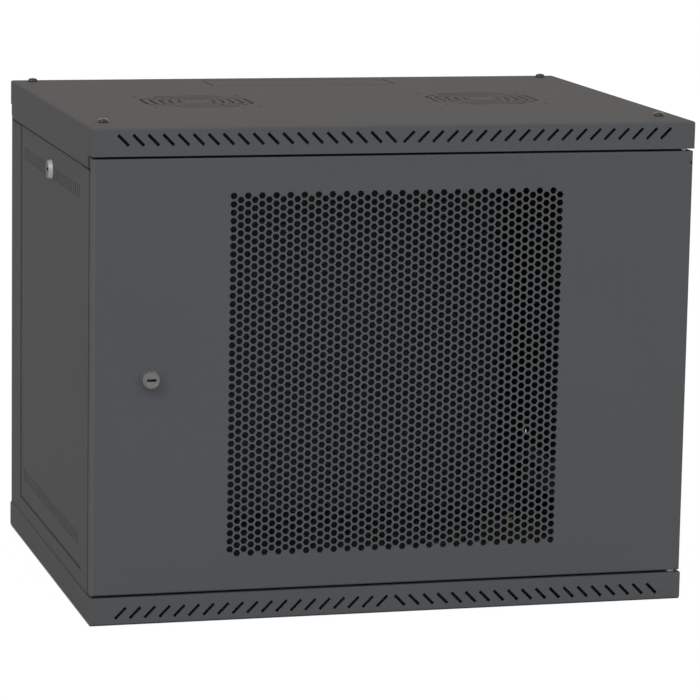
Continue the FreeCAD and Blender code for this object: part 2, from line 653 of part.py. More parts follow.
def rail_fasteners():
    """Hexagon bolts and nuts that clamp each rail to its two depth brackets."""
    for side, hand in ((-1, "left"), (1, "right")):
        bolt = master_body(f"Bolt{hand}Master")
        nut = master_body(f"Nut{hand}Master")
        shank = "bolt_size / 2"
        through = "(rail_sheet + bracket_sheet + nut_height + bolt_end)"
        low, high = span(side, "0", through)
        turn(bolt, "Shank", "X", [("0", low), (shank, low), (shank, high), ("0", high)], ("0", "0", "0"))
        pad(bolt, "Head", "X", *span(side, "-bolt_head", "0"), hexagon("0", "0", "nut_flats"))
        grip = "(rail_sheet + bracket_sheet)"
        pad(nut, "Nut", "X", *span(side, grip, f"{grip} + nut_height"),
            hexagon("0", "0", "nut_flats"), ("0", "0", "bolt_size / 2 + running_gap"))
        for place, y in (("front", f"{FRONT_RAIL} + rail_bolt"),
                         ("rear", f"{REAR_RAIL} - rail_bolt")):
            spots = [(on_side(side, f"{RAIL_OUT} - rail_sheet"), y, f"height / 2 + {sign} * {BRACKET_Z}")
                     for sign in (-1, 1)]
            group(f"rail_bolts_{place}_{hand}", bolt, spots)
            group(f"rail_nuts_{place}_{hand}", nut, spots)


def door_panel():
    """Folded door with a hexagon-perforated field, lips behind all edges and holes for pins and lock."""
    body = new_body("door_panel")
    outer = rect(f"-{DOOR_X}", DOOR_Z0, DOOR_X, DOOR_Z1)
    inset = rect(f"-{DOOR_X} + sheet", f"{DOOR_Z0} + sheet", f"{DOOR_X} - sheet", f"{DOOR_Z1} - sheet")
    lips = rect(f"-{DOOR_X} + door_lip", f"{DOOR_Z0} + door_lip",
                f"{DOOR_X} - door_lip", f"{DOOR_Z1} - door_lip")
    pad(body, "Block", "Y", FRONT, DOOR_BACK, outer)
    cut(body, "Hollow", "Y", DOOR_IN, f"{DOOR_BACK} - sheet", inset)
    cut(body, "BackOpening", "Y", f"{DOOR_BACK} - sheet", DOOR_BACK, lips)
    columns = "floor(mesh_width / (2 * mesh_pitch * cos(30)))"
    rows = "floor(mesh_height / mesh_pitch)"
    x = f"(-(2 * {columns} - 1) / 2 * mesh_pitch * cos(30))"
    z = f"(height / 2 - ({rows} - 1 / 2) / 2 * mesh_pitch)"
    pair = cut(body, "HexagonPair", "Y", FRONT, DOOR_IN, hexagon(x, f"{z} + mesh_pitch / 2", "mesh_hole"),
               hexagon(f"({x} + mesh_pitch * cos(30))", z, "mesh_hole"))
    field = row(body, "HexagonField", pair, "X", "2 * mesh_pitch * cos(30)", columns)
    field.Direction2 = (origin_part(body, "Z_Axis"), [""])
    field.Mode2 = "Spacing"
    tie(field, "Offset2", "mesh_pitch")
    tie(field, "Occurrences2", rows)
    pin = (PIN_X, PIN_Y, "pin_size / 2 + running_gap")
    cut(body, "LowerPinHole", "Z", DOOR_Z0, f"{DOOR_Z0} + sheet", pin)
    cut(body, "UpperPinHole", "Z", f"{DOOR_Z1} - sheet", DOOR_Z1, pin)
    cut(body, "LockHole", "Y", FRONT, DOOR_IN,
        (f"-{DOOR_X} + lock_side", "height / 2", "lock_barrel / 2 + screw_clearance"))


def door_stiffener(side, hand):
    """Folded channel beside the perforated field, open towards the door's skin."""
    body = new_body(f"door_stiffener_{hand}")
    x0, x1 = "(mesh_width / 2 + stiffener_inset)", "(mesh_width / 2 + stiffener_inset + stiffener_width)"
    y0, y1 = DOOR_IN, f"({DOOR_IN} + stiffener_depth)"
    points = [(x0, y0), (f"{x0} + sheet", y0), (f"{x0} + sheet", f"{y1} - sheet"),
              (f"{x1} - sheet", f"{y1} - sheet"), (f"{x1} - sheet", y0), (x1, y0), (x1, y1), (x0, y1)]
    pad(body, "Channel", "Z", f"{DOOR_Z0} + sheet", f"{DOOR_Z1} - sheet",
        [(on_side(side, x), y) for x, y in points])


def hinge_bracket(node, upper):
    """Angle inside a cover's front flange that holds a hinge pin."""
    body = new_body(node)
    x0 = f"({SKIN} - pin_plate)"
    if upper:
        low, high = f"({CAP_LOW} + sheet)", f"({CAP_LOW} + sheet + pin_bracket)"
        flange = (high, f"{low} + pin_flange")
    else:
        low, high = "(cap_front - sheet - pin_bracket)", "(cap_front - sheet)"
        flange = (f"{high} - pin_flange", low)
    pad(body, "Plate", "Z", low, high, rect(x0, DOOR_IN, SKIN, f"{FRONT} + cap_return"),
        (PIN_X, PIN_Y, "pin_size / 2 + running_gap"))
    pad(body, "Flange", "Y", DOOR_IN, f"{DOOR_IN} + pin_bracket", rect(x0, flange[0], SKIN, flange[1]))


def lower_hinge_pin():
    """Riveted pin whose collar carries the door."""
    body = new_body("lower_hinge_pin")
    shank, collar = "pin_size / 2", "pin_collar / 2"
    low = "(cap_front - sheet - pin_bracket)"
    seat = f"({DOOR_Z0} - seat_gap)"
    top = f"({DOOR_Z0} + sheet + pin_reach)"
    turn(body, "Pin", "Z",
         [("0", f"{low} - pin_bracket"), (collar, f"{low} - pin_bracket"), (collar, low), (shank, low),
          (shank, "cap_front"), (collar, "cap_front"), (collar, seat), (shank, seat),
          (shank, top), ("0", top)], (PIN_X, PIN_Y, "0"))


LUG_TOP = "(height - cap_front - door_gap - pin_guide)"
SPRING_TOP = "(height - cap_front - door_gap - pin_guide - 2 * pin_bracket)"
SPRING_LOW = "(height - cap_front - door_gap - pin_guide - 2 * pin_bracket - pin_spring)"


def pin_guide():
    """Bracket in the door with two lugs that guide the sprung upper hinge pin."""
    body = new_body("hinge_pin_guide")
    x0, x1 = f"({PIN_X} - hinge_edge)", f"({DOOR_X} - sheet)"
    back = f"({DOOR_BACK} - sheet - screw_clearance)"
    lows = (f"({LUG_TOP} - pin_bracket)", f"({SPRING_LOW} - pin_bracket)")
    pad(body, "Plate", "Y", DOOR_IN, f"{DOOR_IN} + sheet", rect(x0, lows[1], x1, LUG_TOP))
    hole = (PIN_X, PIN_Y, "pin_size / 2 + running_gap")
    for name, low in zip(("UpperLug", "LowerLug"), lows):
        pad(body, name, "Z", low, f"{low} + pin_bracket", rect(x0, f"{DOOR_IN} + sheet", x1, back), hole)


def upper_hinge_pin():
    """Sprung pin with a collar under the upper lug and a finger bar below the lower one."""
    body = new_body("upper_hinge_pin")
    shank, collar = "pin_size / 2", "pin_collar / 2"
    top = f"({CAP_LOW} + sheet + pin_bracket + pin_engaged)"
    high = f"({LUG_TOP} - pin_bracket - seat_gap)"
    low = SPRING_TOP
    foot = f"({SPRING_LOW} - pin_bracket - pin_travel - pin_grip)"
    turn(body, "Pin", "Z",
         [("0", foot), (shank, foot), (shank, low), (collar, low), (collar, high), (shank, high),
          (shank, f"{top} - pin_point"), (f"{shank} - pin_point", top), ("0", top)], (PIN_X, PIN_Y, "0"))
    pad(body, "FingerBar", "Z", foot, f"{foot} + pin_size",
        rect(f"{PIN_X} - pin_finger", f"{PIN_Y} - pin_size / 4", PIN_X, f"{PIN_Y} + pin_size / 4"))


def pin_spring():
    """Compression spring of the upper pin, as the sleeve that its coils fill."""
    body = new_body("hinge_pin_spring")
    inner, outer = "(pin_size / 2 + seat_gap)", "(pin_size / 2 + seat_gap + spring_wire)"
    top = f"({SPRING_TOP} - seat_gap)"
    turn(body, "Coils", "Z", [(inner, SPRING_LOW), (outer, SPRING_LOW), (outer, top), (inner, top)],
         (PIN_X, PIN_Y, "0"))


def lock(prefix, axis, centre, side, seat, proud, bezel, back, cam_turn):
    """Cam lock: housing, nut, turning core with key slot, cam and cam screw.

    Places along the axis count outwards from the middle of the cabinet times side: seat is the
    panel's outer face, back the place where the cam starts.
    """
    def along(expression):
        return f"{side} * ({expression})"

    front = f"({seat} + {proud})"
    well = f"({front} - lock_well)"
    face, barrel, core = "lock_face / 2", "lock_barrel / 2", "lock_core / 2"
    housing_end = f"({back} + cam_gap)"
    body = new_body(f"{prefix}_housing")
    turn(body, "Housing", axis,
         [(f"{core}", along(housing_end)), (barrel, along(housing_end)), (barrel, along(seat)),
          (f"{bezel} / 2", along(seat)), (f"{bezel} / 2", along(front)),
          (f"{face} + running_gap", along(front)), (f"{face} + running_gap", along(well)),
          (core, along(well))], centre)
    ends = (f"{seat} - sheet - lock_nut_height", f"{seat} - sheet")
    spot = {"Y": (centre[0], centre[2]), "X": (centre[1], centre[2])}[axis]
    body = new_body(f"{prefix}_nut")
    low, high = (along(ends[0]), along(ends[1])) if side > 0 else (along(ends[1]), along(ends[0]))
    pad(body, "Nut", axis, low, high, hexagon("0", "0", "lock_nut"),
        ("0", "0", f"{barrel} + running_gap"), centre=spot)
    body = new_body(f"{prefix}_core")
    rim = f"{core} - running_gap"
    cam_end = f"({back} - cam_thick)"
    turn(body, "Core", axis,
         [("cam_screw / 2", along(cam_end)), (rim, along(cam_end)), (rim, along(f"{well} + running_gap")),
          (face, along(f"{well} + running_gap")), (face, along(front)), ("0", along(front)),
          ("0", along(f"{cam_end} + screw_length")), ("cam_screw / 2", along(f"{cam_end} + screw_length"))],
         centre)
    square = "cam_square / 2"
    ring = [("0", "0", "lock_core"), rect(f"-{square}", f"-{square}", square, square)]
    low, high = (along(cam_end), along(back)) if side > 0 else (along(back), along(cam_end))
    cut(body, "Square", axis, low, high, *ring, centre=spot)
    low, high = (along(f"{front} - key_depth"), along(front))
    low, high = (low, high) if side > 0 else (high, low)
    cut(body, "KeySlot", axis, low, high,
        rect("-key_length / 2", "-key_width / 2", "key_length / 2", "key_width / 2"), centre=spot)
    body = new_body(f"{prefix}_cam")
    low, high = (along(cam_end), along(back)) if side > 0 else (along(back), along(cam_end))
    half = "cam_width / 2"
    if cam_turn == "up":
        blade = rect(f"-{half}", f"-{half}", half, "cam_length")
    else:
        blade = rect(f"-{half}", f"-{half}", "cam_length", half)
    pad(body, "Blade", axis, low, high, blade, ring[1], centre=spot)
    body = new_body(f"{prefix}_screw")
    turn(body, "Screw", axis,
         [("0", along(f"{cam_end} + cam_screw_length")),
          ("cam_screw / 2 - running_gap", along(f"{cam_end} + cam_screw_length")),
          ("cam_screw / 2 - running_gap", along(cam_end)), ("cam_screw_head / 2", along(cam_end)),
          ("cam_screw_head / 2", along(f"{cam_end} - cam_thick")), ("0", along(f"{cam_end} - cam_thick"))],
         centre)


def door_lock():
    lock("door_lock", "Y", (f"(-{DOOR_X} + lock_side)", "0", "(height / 2)"), -1, "(depth / 2)",
         "lock_proud", "lock_size", f"(-{FRAME_BACK} - cam_clear)", "up")


def side_panel(side, hand):
    """Removable tray with two vent rows, feet on its lower edge and a lock at its upper one."""
    body = new_body(f"side_panel_{hand}")
    outer = rect(f"-{PANEL_Y}", PANEL_Z0, PANEL_Y, PANEL_Z1)
    inset = rect(f"-{PANEL_Y} + sheet", f"{PANEL_Z0} + sheet", f"{PANEL_Y} - sheet", f"{PANEL_Z1} - sheet")
    back = f"({POCKET_X} + sheet + seat_gap)"
    skin = span(side, f"{PANEL_X} - sheet", PANEL_X)
    pad(body, "Skin", "X", *skin, outer)
    pad(body, "Rim", "X", *span(side, back, f"{PANEL_X} - sheet"), outer, inset)
    feet = [rect(f"{sign} * foot_spacing / 2 - foot_length / 2", f"{OPEN_Z0} + seat_gap",
                 f"{sign} * foot_spacing / 2 + foot_length / 2", PANEL_Z0) for sign in (-1, 1)]
    pad(body, "Feet", "X", *span(side, back, f"{PANEL_X} - sheet"), *feet)
    lock_z = f"({PANEL_Z1} - side_lock_drop)"
    half, tall = "vent_width / 2", "vent_height / 2"
    low_count = f"(floor((2 * {PANEL_Y} - 2 * vent_margin) / vent_pitch + 0.001) + 1)"
    start = f"(-({low_count} - 1) / 2 * vent_pitch)"
    z = f"({PANEL_Z0} + vent_low)"
    vent = cut(body, "LowVent", "X", *skin,
               rect(f"{start} - {half}", f"{z} - {tall}", f"{start} + {half}", f"{z} + {tall}"))
    row(body, "LowVents", vent, "Y", "vent_pitch", low_count)
    z = f"({PANEL_Z1} - vent_high)"
    high_count = f"(floor(({PANEL_Y} - vent_margin - vent_lock_gap) / vent_pitch + 0.001) + 1)"
    for sign, end in ((-1, "Front"), (1, "Rear")):
        y = f"({sign} * vent_lock_gap)"
        vent = cut(body, f"HighVent{end}", "X", *skin,
                   rect(f"{y} - {half}", f"{z} - {tall}", f"{y} + {half}", f"{z} + {tall}"))
        row(body, f"HighVents{end}", vent, "Y", "vent_pitch", high_count, backwards=sign < 0)
    cut(body, "LockHole", "X", *skin, ("0", lock_z, "lock_barrel / 2 + screw_clearance"))
    lock(f"side_lock_{hand}", "X", ("0", "0", lock_z), side, PANEL_X, "side_lock_proud",
         "side_lock_size", f"({POCKET_X} - cam_gap)", "back")


def bumpers():
    """Rubber pads on the lock-side flange that the closed door meets."""
    body = master_body("BumperMaster")
    radius = "bumper_size / 2"
    turn(body, "Pad", "Y",
         [("0", "0"), (radius, "0"), (radius, "-bumper_edge"),
          ("bumper_flat / 2", "-door_setback + seat_gap"), ("0", "-door_setback + seat_gap")],
         ("0", "0", "0"))
    x = f"-({DOOR_X} - door_lip / 2)"
    group("door_bumpers", body, [(x, FRAME_Y, f"{DOOR_Z0} + bumper_end"),
                                 (x, FRAME_Y, f"{DOOR_Z1} - bumper_end")])


def earth_point():
    """Welded stud on the base with a coloured washer and a nut."""
    centre = (f"{HALF} - earth_side", f"{REAR} - earth_rear", "0")
    spot = centre[:2]
    base = "sheet"
    body = new_body("earth_stud")
    shank = "bolt_size / 2"
    turn(body, "Stud", "Z",
         [("0", base), (shank, base), (shank, f"{base} + earth_length"), ("0", f"{base} + earth_length")],
         centre)
    body = new_body("earth_washer")
    pad(body, "Washer", "Z", base, f"{base} + washer_thick",
        ("0", "0", "washer_size / 2"), ("0", "0", f"{shank} + screw_clearance"), centre=spot)
    body = new_body("earth_nut")
    low = f"({base} + washer_thick)"
    pad(body, "Nut", "Z", low, f"{low} + nut_height",
        hexagon("0", "0", "nut_flats"), ("0", "0", f"{shank} + running_gap"), centre=spot)


def build():
    fill_sheet()
    top_cover()
    bottom_cover()
    for side, hand in ((-1, "left"), (1, "right")):
        side_frame(side, hand)
        for sign, level in ((-1, "lower"), (1, "upper")):
            depth_bracket(side, hand, sign, level)
        rail(side, hand, "front", FRONT_RAIL, 1)
        rail(side, hand, "rear", REAR_RAIL, -1)
        side_panel(side, hand)
        door_stiffener(side, hand)
    rear_panel()
    crossbar("front_header", True)
    crossbar("front_sill", False)
    cover_screws()
    rail_fasteners()
    door_panel()
    hinge_bracket("upper_hinge_bracket", True)
    hinge_bracket("lower_hinge_bracket", False)
    lower_hinge_pin()
    pin_guide()
    upper_hinge_pin()
    pin_spring()
    door_lock()
    bumpers()
    earth_point()
    doc.recompute()


def check_and_write():
    """Stop at any failed object or bad shape, then write one file per node."""
    for thing in doc.Objects:
        if "Invalid" in thing.State or "Error" in thing.State:
            raise RuntimeError(f"{thing.Name} failed: {thing.State}")
    for node in NODES:
        if node.Shape.isNull() or not node.Shape.isValid() or not node.Shape.Solids:
            raise RuntimeError(f"{node.Label} has no valid solid")
    os.makedirs("parts", exist_ok=True)
    for node in NODES:
        node.Shape.exportStep(f"parts/{node.Label}.step")


build()
check_and_write()
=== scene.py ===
"""Looks of a wall-mounted network cabinet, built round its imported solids."""

import json
import math

import bmesh
import bpy
from bpy.props import FloatProperty, FloatVectorProperty, IntProperty, PointerProperty
from mathutils import Matrix, Vector


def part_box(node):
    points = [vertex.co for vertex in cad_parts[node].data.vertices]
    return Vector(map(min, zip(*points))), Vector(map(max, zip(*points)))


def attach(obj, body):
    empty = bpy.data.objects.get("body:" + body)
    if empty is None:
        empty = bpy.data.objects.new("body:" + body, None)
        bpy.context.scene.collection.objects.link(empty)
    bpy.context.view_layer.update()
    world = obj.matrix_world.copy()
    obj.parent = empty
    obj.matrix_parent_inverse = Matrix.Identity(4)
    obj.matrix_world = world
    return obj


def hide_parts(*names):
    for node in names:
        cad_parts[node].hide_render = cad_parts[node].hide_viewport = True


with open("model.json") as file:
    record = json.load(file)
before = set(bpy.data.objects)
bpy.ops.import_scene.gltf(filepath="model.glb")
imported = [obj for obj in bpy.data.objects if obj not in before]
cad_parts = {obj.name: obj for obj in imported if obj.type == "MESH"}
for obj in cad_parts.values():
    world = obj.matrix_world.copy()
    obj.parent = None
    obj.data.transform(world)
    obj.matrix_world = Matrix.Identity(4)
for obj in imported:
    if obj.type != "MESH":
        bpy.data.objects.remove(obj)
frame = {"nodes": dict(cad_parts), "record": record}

bl_info = {
    "name": "Network cabinet",
    "version": (1, 0, 0),
    "blender": (4, 5, 0),
    "location": "View3D > Sidebar > Cabinet",
    "description": "Dresses a nine-unit network cabinet in powder coat, nickel and rubber",
    "category": "Add Mesh",
}

MM = 0.001
ROUND = 64  # sides of a lock's circles
SMALL_ROUND = 48  # sides of a screw head and of the door's lock hole
SMOOTH = math.radians(35)  # edges flatter than this are shaded smooth
CLOSE = 0.01 * MM  # vertices nearer than this are one


def corners(node):
    """Lowest and highest corner of a solid, as vectors."""
    low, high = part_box(node)
    return Vector(low), Vector(high)


def middle(node):
    """Middle of a solid's box."""
    low, high = corners(node)
    return (low + high) / 2


# ---------------------------------------------------------------- sizes and colours

class DoorSizes(bpy.types.PropertyGroup):
    """Sizes of the perforated door."""
    sheet: FloatProperty(name="Sheet", description="Steel thickness", default=1.2 * MM, unit="LENGTH")
    fold: FloatProperty(name="Fold", description="Outer radius of the folds", default=1.6 * MM, unit="LENGTH")
    lip: FloatProperty(name="Lip", description="Lip behind the edges", default=18 * MM, unit="LENGTH")
    pitch: FloatProperty(name="Pitch", description="Distance between holes", default=8 * MM, unit="LENGTH")
    flats: FloatProperty(name="Hole", description="Holes across flats", default=6.2 * MM, unit="LENGTH")
    columns: IntProperty(name="Columns", description="Columns of holes", default=48, min=2)
    rows: IntProperty(name="Rows", description="Holes in a column", default=44, min=2)
    lock_hole: FloatProperty(name="Lock hole", description="Radius", default=8.2 * MM, unit="LENGTH")


class LockSizes(bpy.types.PropertyGroup):
    """Sizes of the cam locks."""
    face: FloatProperty(name="Face", description="Radius of the turning face", default=7.75 * MM,
                        unit="LENGTH")
    rim: FloatProperty(name="Rim", description="Width of the raised rim", default=1.3 * MM, unit="LENGTH")
    dish: FloatProperty(name="Dish", description="Depth inside the rim", default=0.2 * MM, unit="LENGTH")
    chamfer: FloatProperty(name="Chamfer", description="Cut off the rim", default=0.25 * MM, unit="LENGTH")
    core: FloatProperty(name="Core", description="Radius of the core", default=6 * MM, unit="LENGTH")
    tail: FloatProperty(name="Tail", description="Core past the barrel", default=2.4 * MM, unit="LENGTH")
    well: FloatProperty(name="Well", description="Depth of the face's seat", default=1.2 * MM, unit="LENGTH")
    gap: FloatProperty(name="Gap", description="Clearance round the core", default=0.12 * MM, unit="LENGTH")
    barrel: FloatProperty(name="Barrel", description="Radius of the barrel", default=8 * MM, unit="LENGTH")
    edge: FloatProperty(name="Edge", description="Rounding of the bezel", default=0.2 * MM, unit="LENGTH")
    taper: FloatProperty(name="Taper", description="Narrowing to the face", default=1.4 * MM, unit="LENGTH")
    slot_length: FloatProperty(name="Key slot", description="Length", default=10 * MM, unit="LENGTH")
    slot_width: FloatProperty(name="Key slot width", description="Width", default=2.7 * MM, unit="LENGTH")
    slot_depth: FloatProperty(name="Key slot depth", description="Depth", default=12 * MM, unit="LENGTH")


class FastenerSizes(bpy.types.PropertyGroup):
    """Sizes of screws and the hinge spring."""
    spread: FloatProperty(name="Spread", description="Between left and right screws", default=560 * MM,
                          unit="LENGTH")
    shank: FloatProperty(name="Shank", description="Radius of the shank", default=2.5 * MM, unit="LENGTH")
    recess: FloatProperty(name="Recess", description="Reach of the cross", default=2.9 * MM, unit="LENGTH")
    recess_width: FloatProperty(name="Recess width", description="Arm width", default=1.3 * MM, unit="LENGTH")
    wire: FloatProperty(name="Wire", description="Radius of the wire", default=0.5 * MM, unit="LENGTH")
    coils: IntProperty(name="Coils", description="Turns of the spring", default=11, min=2)


class Finishes(bpy.types.PropertyGroup):
    """Colours of the surfaces."""
    powder: FloatVectorProperty(name="Powder coat", description="Case and door", subtype="COLOR",
                                default=(0.093, 0.0935, 0.0945))
    rail: FloatVectorProperty(name="Rails", description="Rack rails", subtype="COLOR",
                              default=(0.022, 0.0225, 0.024))
    nickel: FloatVectorProperty(name="Nickel", description="Lock faces", subtype="COLOR",
                                default=(0.175, 0.172, 0.165))
    # lighter than the nickel: partly the bezel's satin finish, partly a painted highlight standing in for the
    # lit flank
    bezel: FloatVectorProperty(name="Bezels", description="Satin bezels of the locks", subtype="COLOR",
                               default=(0.4, 0.405, 0.4))
    # painted shade: a darker copy of the nickel, standing in for the dark surroundings the chrome heads would
    # reflect
    screw: FloatVectorProperty(name="Screws", description="Dark nickel of the cover screws", subtype="COLOR",
                               default=(0.055, 0.054, 0.052))
    zinc: FloatVectorProperty(name="Zinc", description="Pins, bolts and nuts", subtype="COLOR",
                              default=(0.42, 0.43, 0.44))
    rubber: FloatVectorProperty(name="Rubber", description="Door bumpers", subtype="COLOR",
                                default=(0.018, 0.018, 0.019))
    earth: FloatVectorProperty(name="Earth", description="Earth washer", subtype="COLOR",
                               default=(0.74, 0.74, 0.04))
    floor: FloatVectorProperty(name="Floor", description="Pale floor", subtype="COLOR",
                               default=(0.5, 0.5, 0.5))


class StageSizes(bpy.types.PropertyGroup):
    """Camera and floor."""
    floor: FloatProperty(name="Floor", description="Half the floor's width", default=30, unit="LENGTH")
    lens: FloatProperty(name="Lens", description="Focal length in millimetres", default=185.76)
    yaw: FloatProperty(name="Yaw", description="Turn of the view", default=0.2644, subtype="ANGLE")
    pitch: FloatProperty(name="Pitch", description="Tilt of the view", default=-0.17425, subtype="ANGLE")
    roll: FloatProperty(name="Roll", description="Roll of the view", default=0.018, subtype="ANGLE")
    place: FloatVectorProperty(name="Camera", description="Place of the camera", subtype="TRANSLATION",
                               default=(-0.9431, -3.5379, 0.8665))


class Light(bpy.types.PropertyGroup):
    """Colour and strength of the light that reaches the cabinet."""
    room: FloatVectorProperty(name="Room", description="Even light from everywhere", default=(0.4, 0.4, 0.4))
    ceiling: FloatVectorProperty(name="Ceiling", description="From above", default=(0.527, 0.297, 0.013))
    front: FloatVectorProperty(name="Front", description="Wall in front", default=(0.628, 0.938, 1.2))
    back: FloatVectorProperty(name="Back", description="Wall behind", default=(0.4, 0.5, 0.6))
    sides: FloatVectorProperty(name="Sides", description="Walls at both sides", default=(0, 0, 0.136))
    key: FloatVectorProperty(name="Key lamp", description="Colour of the key lamp", default=(1, 0.95, 0.88))
    key_strength: FloatProperty(name="Key strength", description="Strength of the key lamp", default=0.6)
    key_spread: FloatProperty(name="Key spread", description="Width of the key lamp in degrees", default=14)
    key_from: FloatVectorProperty(name="Key place", description="Where the key lamp stands",
                                  default=(-0.62, -0.5, 0.6))
    glow: FloatProperty(name="Floor glow", description="Brightness of the floor where seen", default=1.05)
    share: FloatProperty(name="Floor share", description="Share of the glow, the rest is lit", default=0.93)


# ---------------------------------------------------------------- node graphs

class Value:
    """A node's output on which arithmetic adds Math nodes."""

    def __init__(self, graph, socket):
        self.graph = graph
        self.socket = socket

    def _math(self, operation, first, second):
        return self.graph.node("ShaderNodeMath", {"operation": operation}, first, second)

    def __add__(self, other):
        return self._math("ADD", self, other)

    def __radd__(self, other):
        return self._math("ADD", other, self)

    def __sub__(self, other):
        return self._math("SUBTRACT", self, other)

    def __rsub__(self, other):
        return self._math("SUBTRACT", other, self)

    def __mul__(self, other):
        return self._math("MULTIPLY", self, other)

    def __rmul__(self, other):
        return self._math("MULTIPLY", other, self)

    def __truediv__(self, other):
        return self._math("DIVIDE", self, other)

    def __rtruediv__(self, other):
        return self._math("DIVIDE", other, self)

    def __neg__(self):
        return self._math("MULTIPLY", self, -1)

    def __lt__(self, other):
        return self._math("LESS_THAN", self, other)

    def __gt__(self, other):
        return self._math("GREATER_THAN", self, other)

    def at_least(self, other):
        return self._math("MAXIMUM", self, other)

    def absolute(self):
        return self.graph.node("ShaderNodeMath", {"operation": "ABSOLUTE"}, self)

    def floor(self):
        return self.graph.node("ShaderNodeMath", {"operation": "FLOOR"}, self)

    def modulo(self, other):
        return self._math("FLOORED_MODULO", self, other)


class Graph:
    """A node tree written as calls: settings first, then the sockets' values or links."""

    def __init__(self, tree):
        self.tree = tree
        self.tree.nodes.clear()

    def add(self, kind, settings=None, *values, **named):
        """Make a node; values fill its sockets in order, named ones by name with _ for a space."""
        node = self.tree.nodes.new(kind)
        for name, setting in (settings or {}).items():
            setattr(node, name, setting)
        spelled = {name.replace("_", " "): value for name, value in named.items()}
        for key, value in [*enumerate(values), *spelled.items()]:
            socket = node.inputs[key]
            for one in value if isinstance(value, list) else [value]:
                if isinstance(one, Value):
                    self.tree.links.new(one.socket, socket)
                elif one is not None:
                    socket.default_value = one
        return node

    def node(self, kind, settings=None, *values, **named):
        """Make a node and return its first output."""
        return Value(self, self.add(kind, settings, *values, **named).outputs[0])

    def output(self, node, name):
        return Value(self, node.outputs[name])

    def parts(self, vector):
        """The X, Y and Z of a vector."""
        node = self.add("ShaderNodeSeparateXYZ", None, vector)
        return [Value(self, socket) for socket in node.outputs]


def new_material(name, base, roughness, metallic=0.0):
    """A Principled material and its graph, with the plain numbers set on the shader itself."""
    material = bpy.data.materials.new(name)
    material.use_nodes = True
    graph = Graph(material.node_tree)
    shader = graph.add("ShaderNodeBsdfPrincipled")
    shader.inputs["Metallic"].default_value = metallic
    shader.inputs["Roughness"].default_value = roughness
    shader.inputs["Base Color"].default_value = (*base, 1)
    graph.add("ShaderNodeOutputMaterial", None, Value(graph, shader.outputs[0]))
    place = graph.output(graph.add("ShaderNodeTexCoord"), "Object")
    return material, graph, shader, place


def noise(graph, place, size, detail=2.0, rough=0.5):
    """Soft noise whose blobs are about size metres across."""
    made = graph.add("ShaderNodeTexNoise", None, Vector=place, Scale=1 / size, Detail=detail, Roughness=rough)
    return graph.output(made, "Fac")


def tint(graph, base, mask, dark, light):
    """The base colour made darker or lighter along a mask from 0 to 1."""
    mix = graph.add("ShaderNodeMix", {"data_type": "RGBA"}, mask)
    mix.inputs["A"].default_value = (*[channel * dark for channel in base], 1)
    mix.inputs["B"].default_value = (*[channel * light for channel in base], 1)
    return graph.output(mix, "Result")


def bump(graph, shader, height, distance, strength):
    """Relief of some distance in the shader's normal."""
    node = graph.add("ShaderNodeBump", None, Height=height, Distance=distance, Strength=strength)
    graph.tree.links.new(node.outputs[0], shader.inputs["Normal"])


def link(graph, value, shader, name):
    """Lead a value into one of the shader's sockets."""
    graph.tree.links.new(value.socket, shader.inputs[name])


def painted_seam_shade_and_fold_highlight(graph, place, colour, base):
    """A colour with painted shade in the gap under the top cover's side flanges, and a painted highlight that
    makes the door's free fold lighter.
    """
    x, y, z = graph.parts(place)
    cover_low, cover_high = corners("top_cover")
    door_low, door_high = corners("door_panel")
    flange, thin, shade_band = 4 * MM, 0.1 * MM, 2.6 * MM
    # painted shade: a band just under the top cover's side flanges, darkened where a shadow gap would fall
    painted_seam_shade = (x.absolute() > cover_high.x - flange) * (z > cover_low.z - shade_band) * (z < cover_low.z - thin)
    # painted highlight: the door's free fold is painted lighter, where a rounder fold would catch the light
    bend, reach, rest = 2.5 * MM, 12 * MM, 0.6 * MM
    fold = (x < door_low.x + bend) * (y < door_low.y + reach)
    fold = fold * (z > door_low.z + rest) * (z < door_high.z - rest)
    # mix in the painted shade (towards a tenth of the base) and the painted highlight (1.14 times the base)
    for mask, strength, scale in ((painted_seam_shade, 0.85, 0.1), (fold, 1.0, 1.14)):
        mix = graph.add("ShaderNodeMix", {"data_type": "RGBA"}, mask * strength, A=colour)
        mix.inputs["B"].default_value = (*[channel * scale for channel in base], 1)
        colour = graph.output(mix, "Result")
    return colour


def powder_coat(name, base):
    """Fine-textured powder coat: a tight orange peel, faint mottling and a slightly uneven gloss."""
    material, graph, shader, place = new_material(name, base, 0.55)
    shader.inputs["Specular IOR Level"].default_value = 0.003
    grain = noise(graph, place, 0.75 * MM, 2.0, 0.6)
    mottle = noise(graph, place, 7 * MM, 3.0, 0.55)
    wide = noise(graph, place, 120 * MM, 2.0, 0.5)
    colour = tint(graph, base, grain * 0.45 + mottle * 0.3 + wide * 0.25, 0.90, 1.10)
    # the base colour carries a painted shade under the cover's flanges and a painted highlight on the door's
    # fold
    link(graph, painted_seam_shade_and_fold_highlight(graph, place, colour, base), shader, "Base Color")
    link(graph, 0.46 + mottle * 0.1 + grain * 0.08, shader, "Roughness")
    bump(graph, shader, grain * 0.8 + mottle * 0.2, 0.06 * MM, 0.5)
    return material


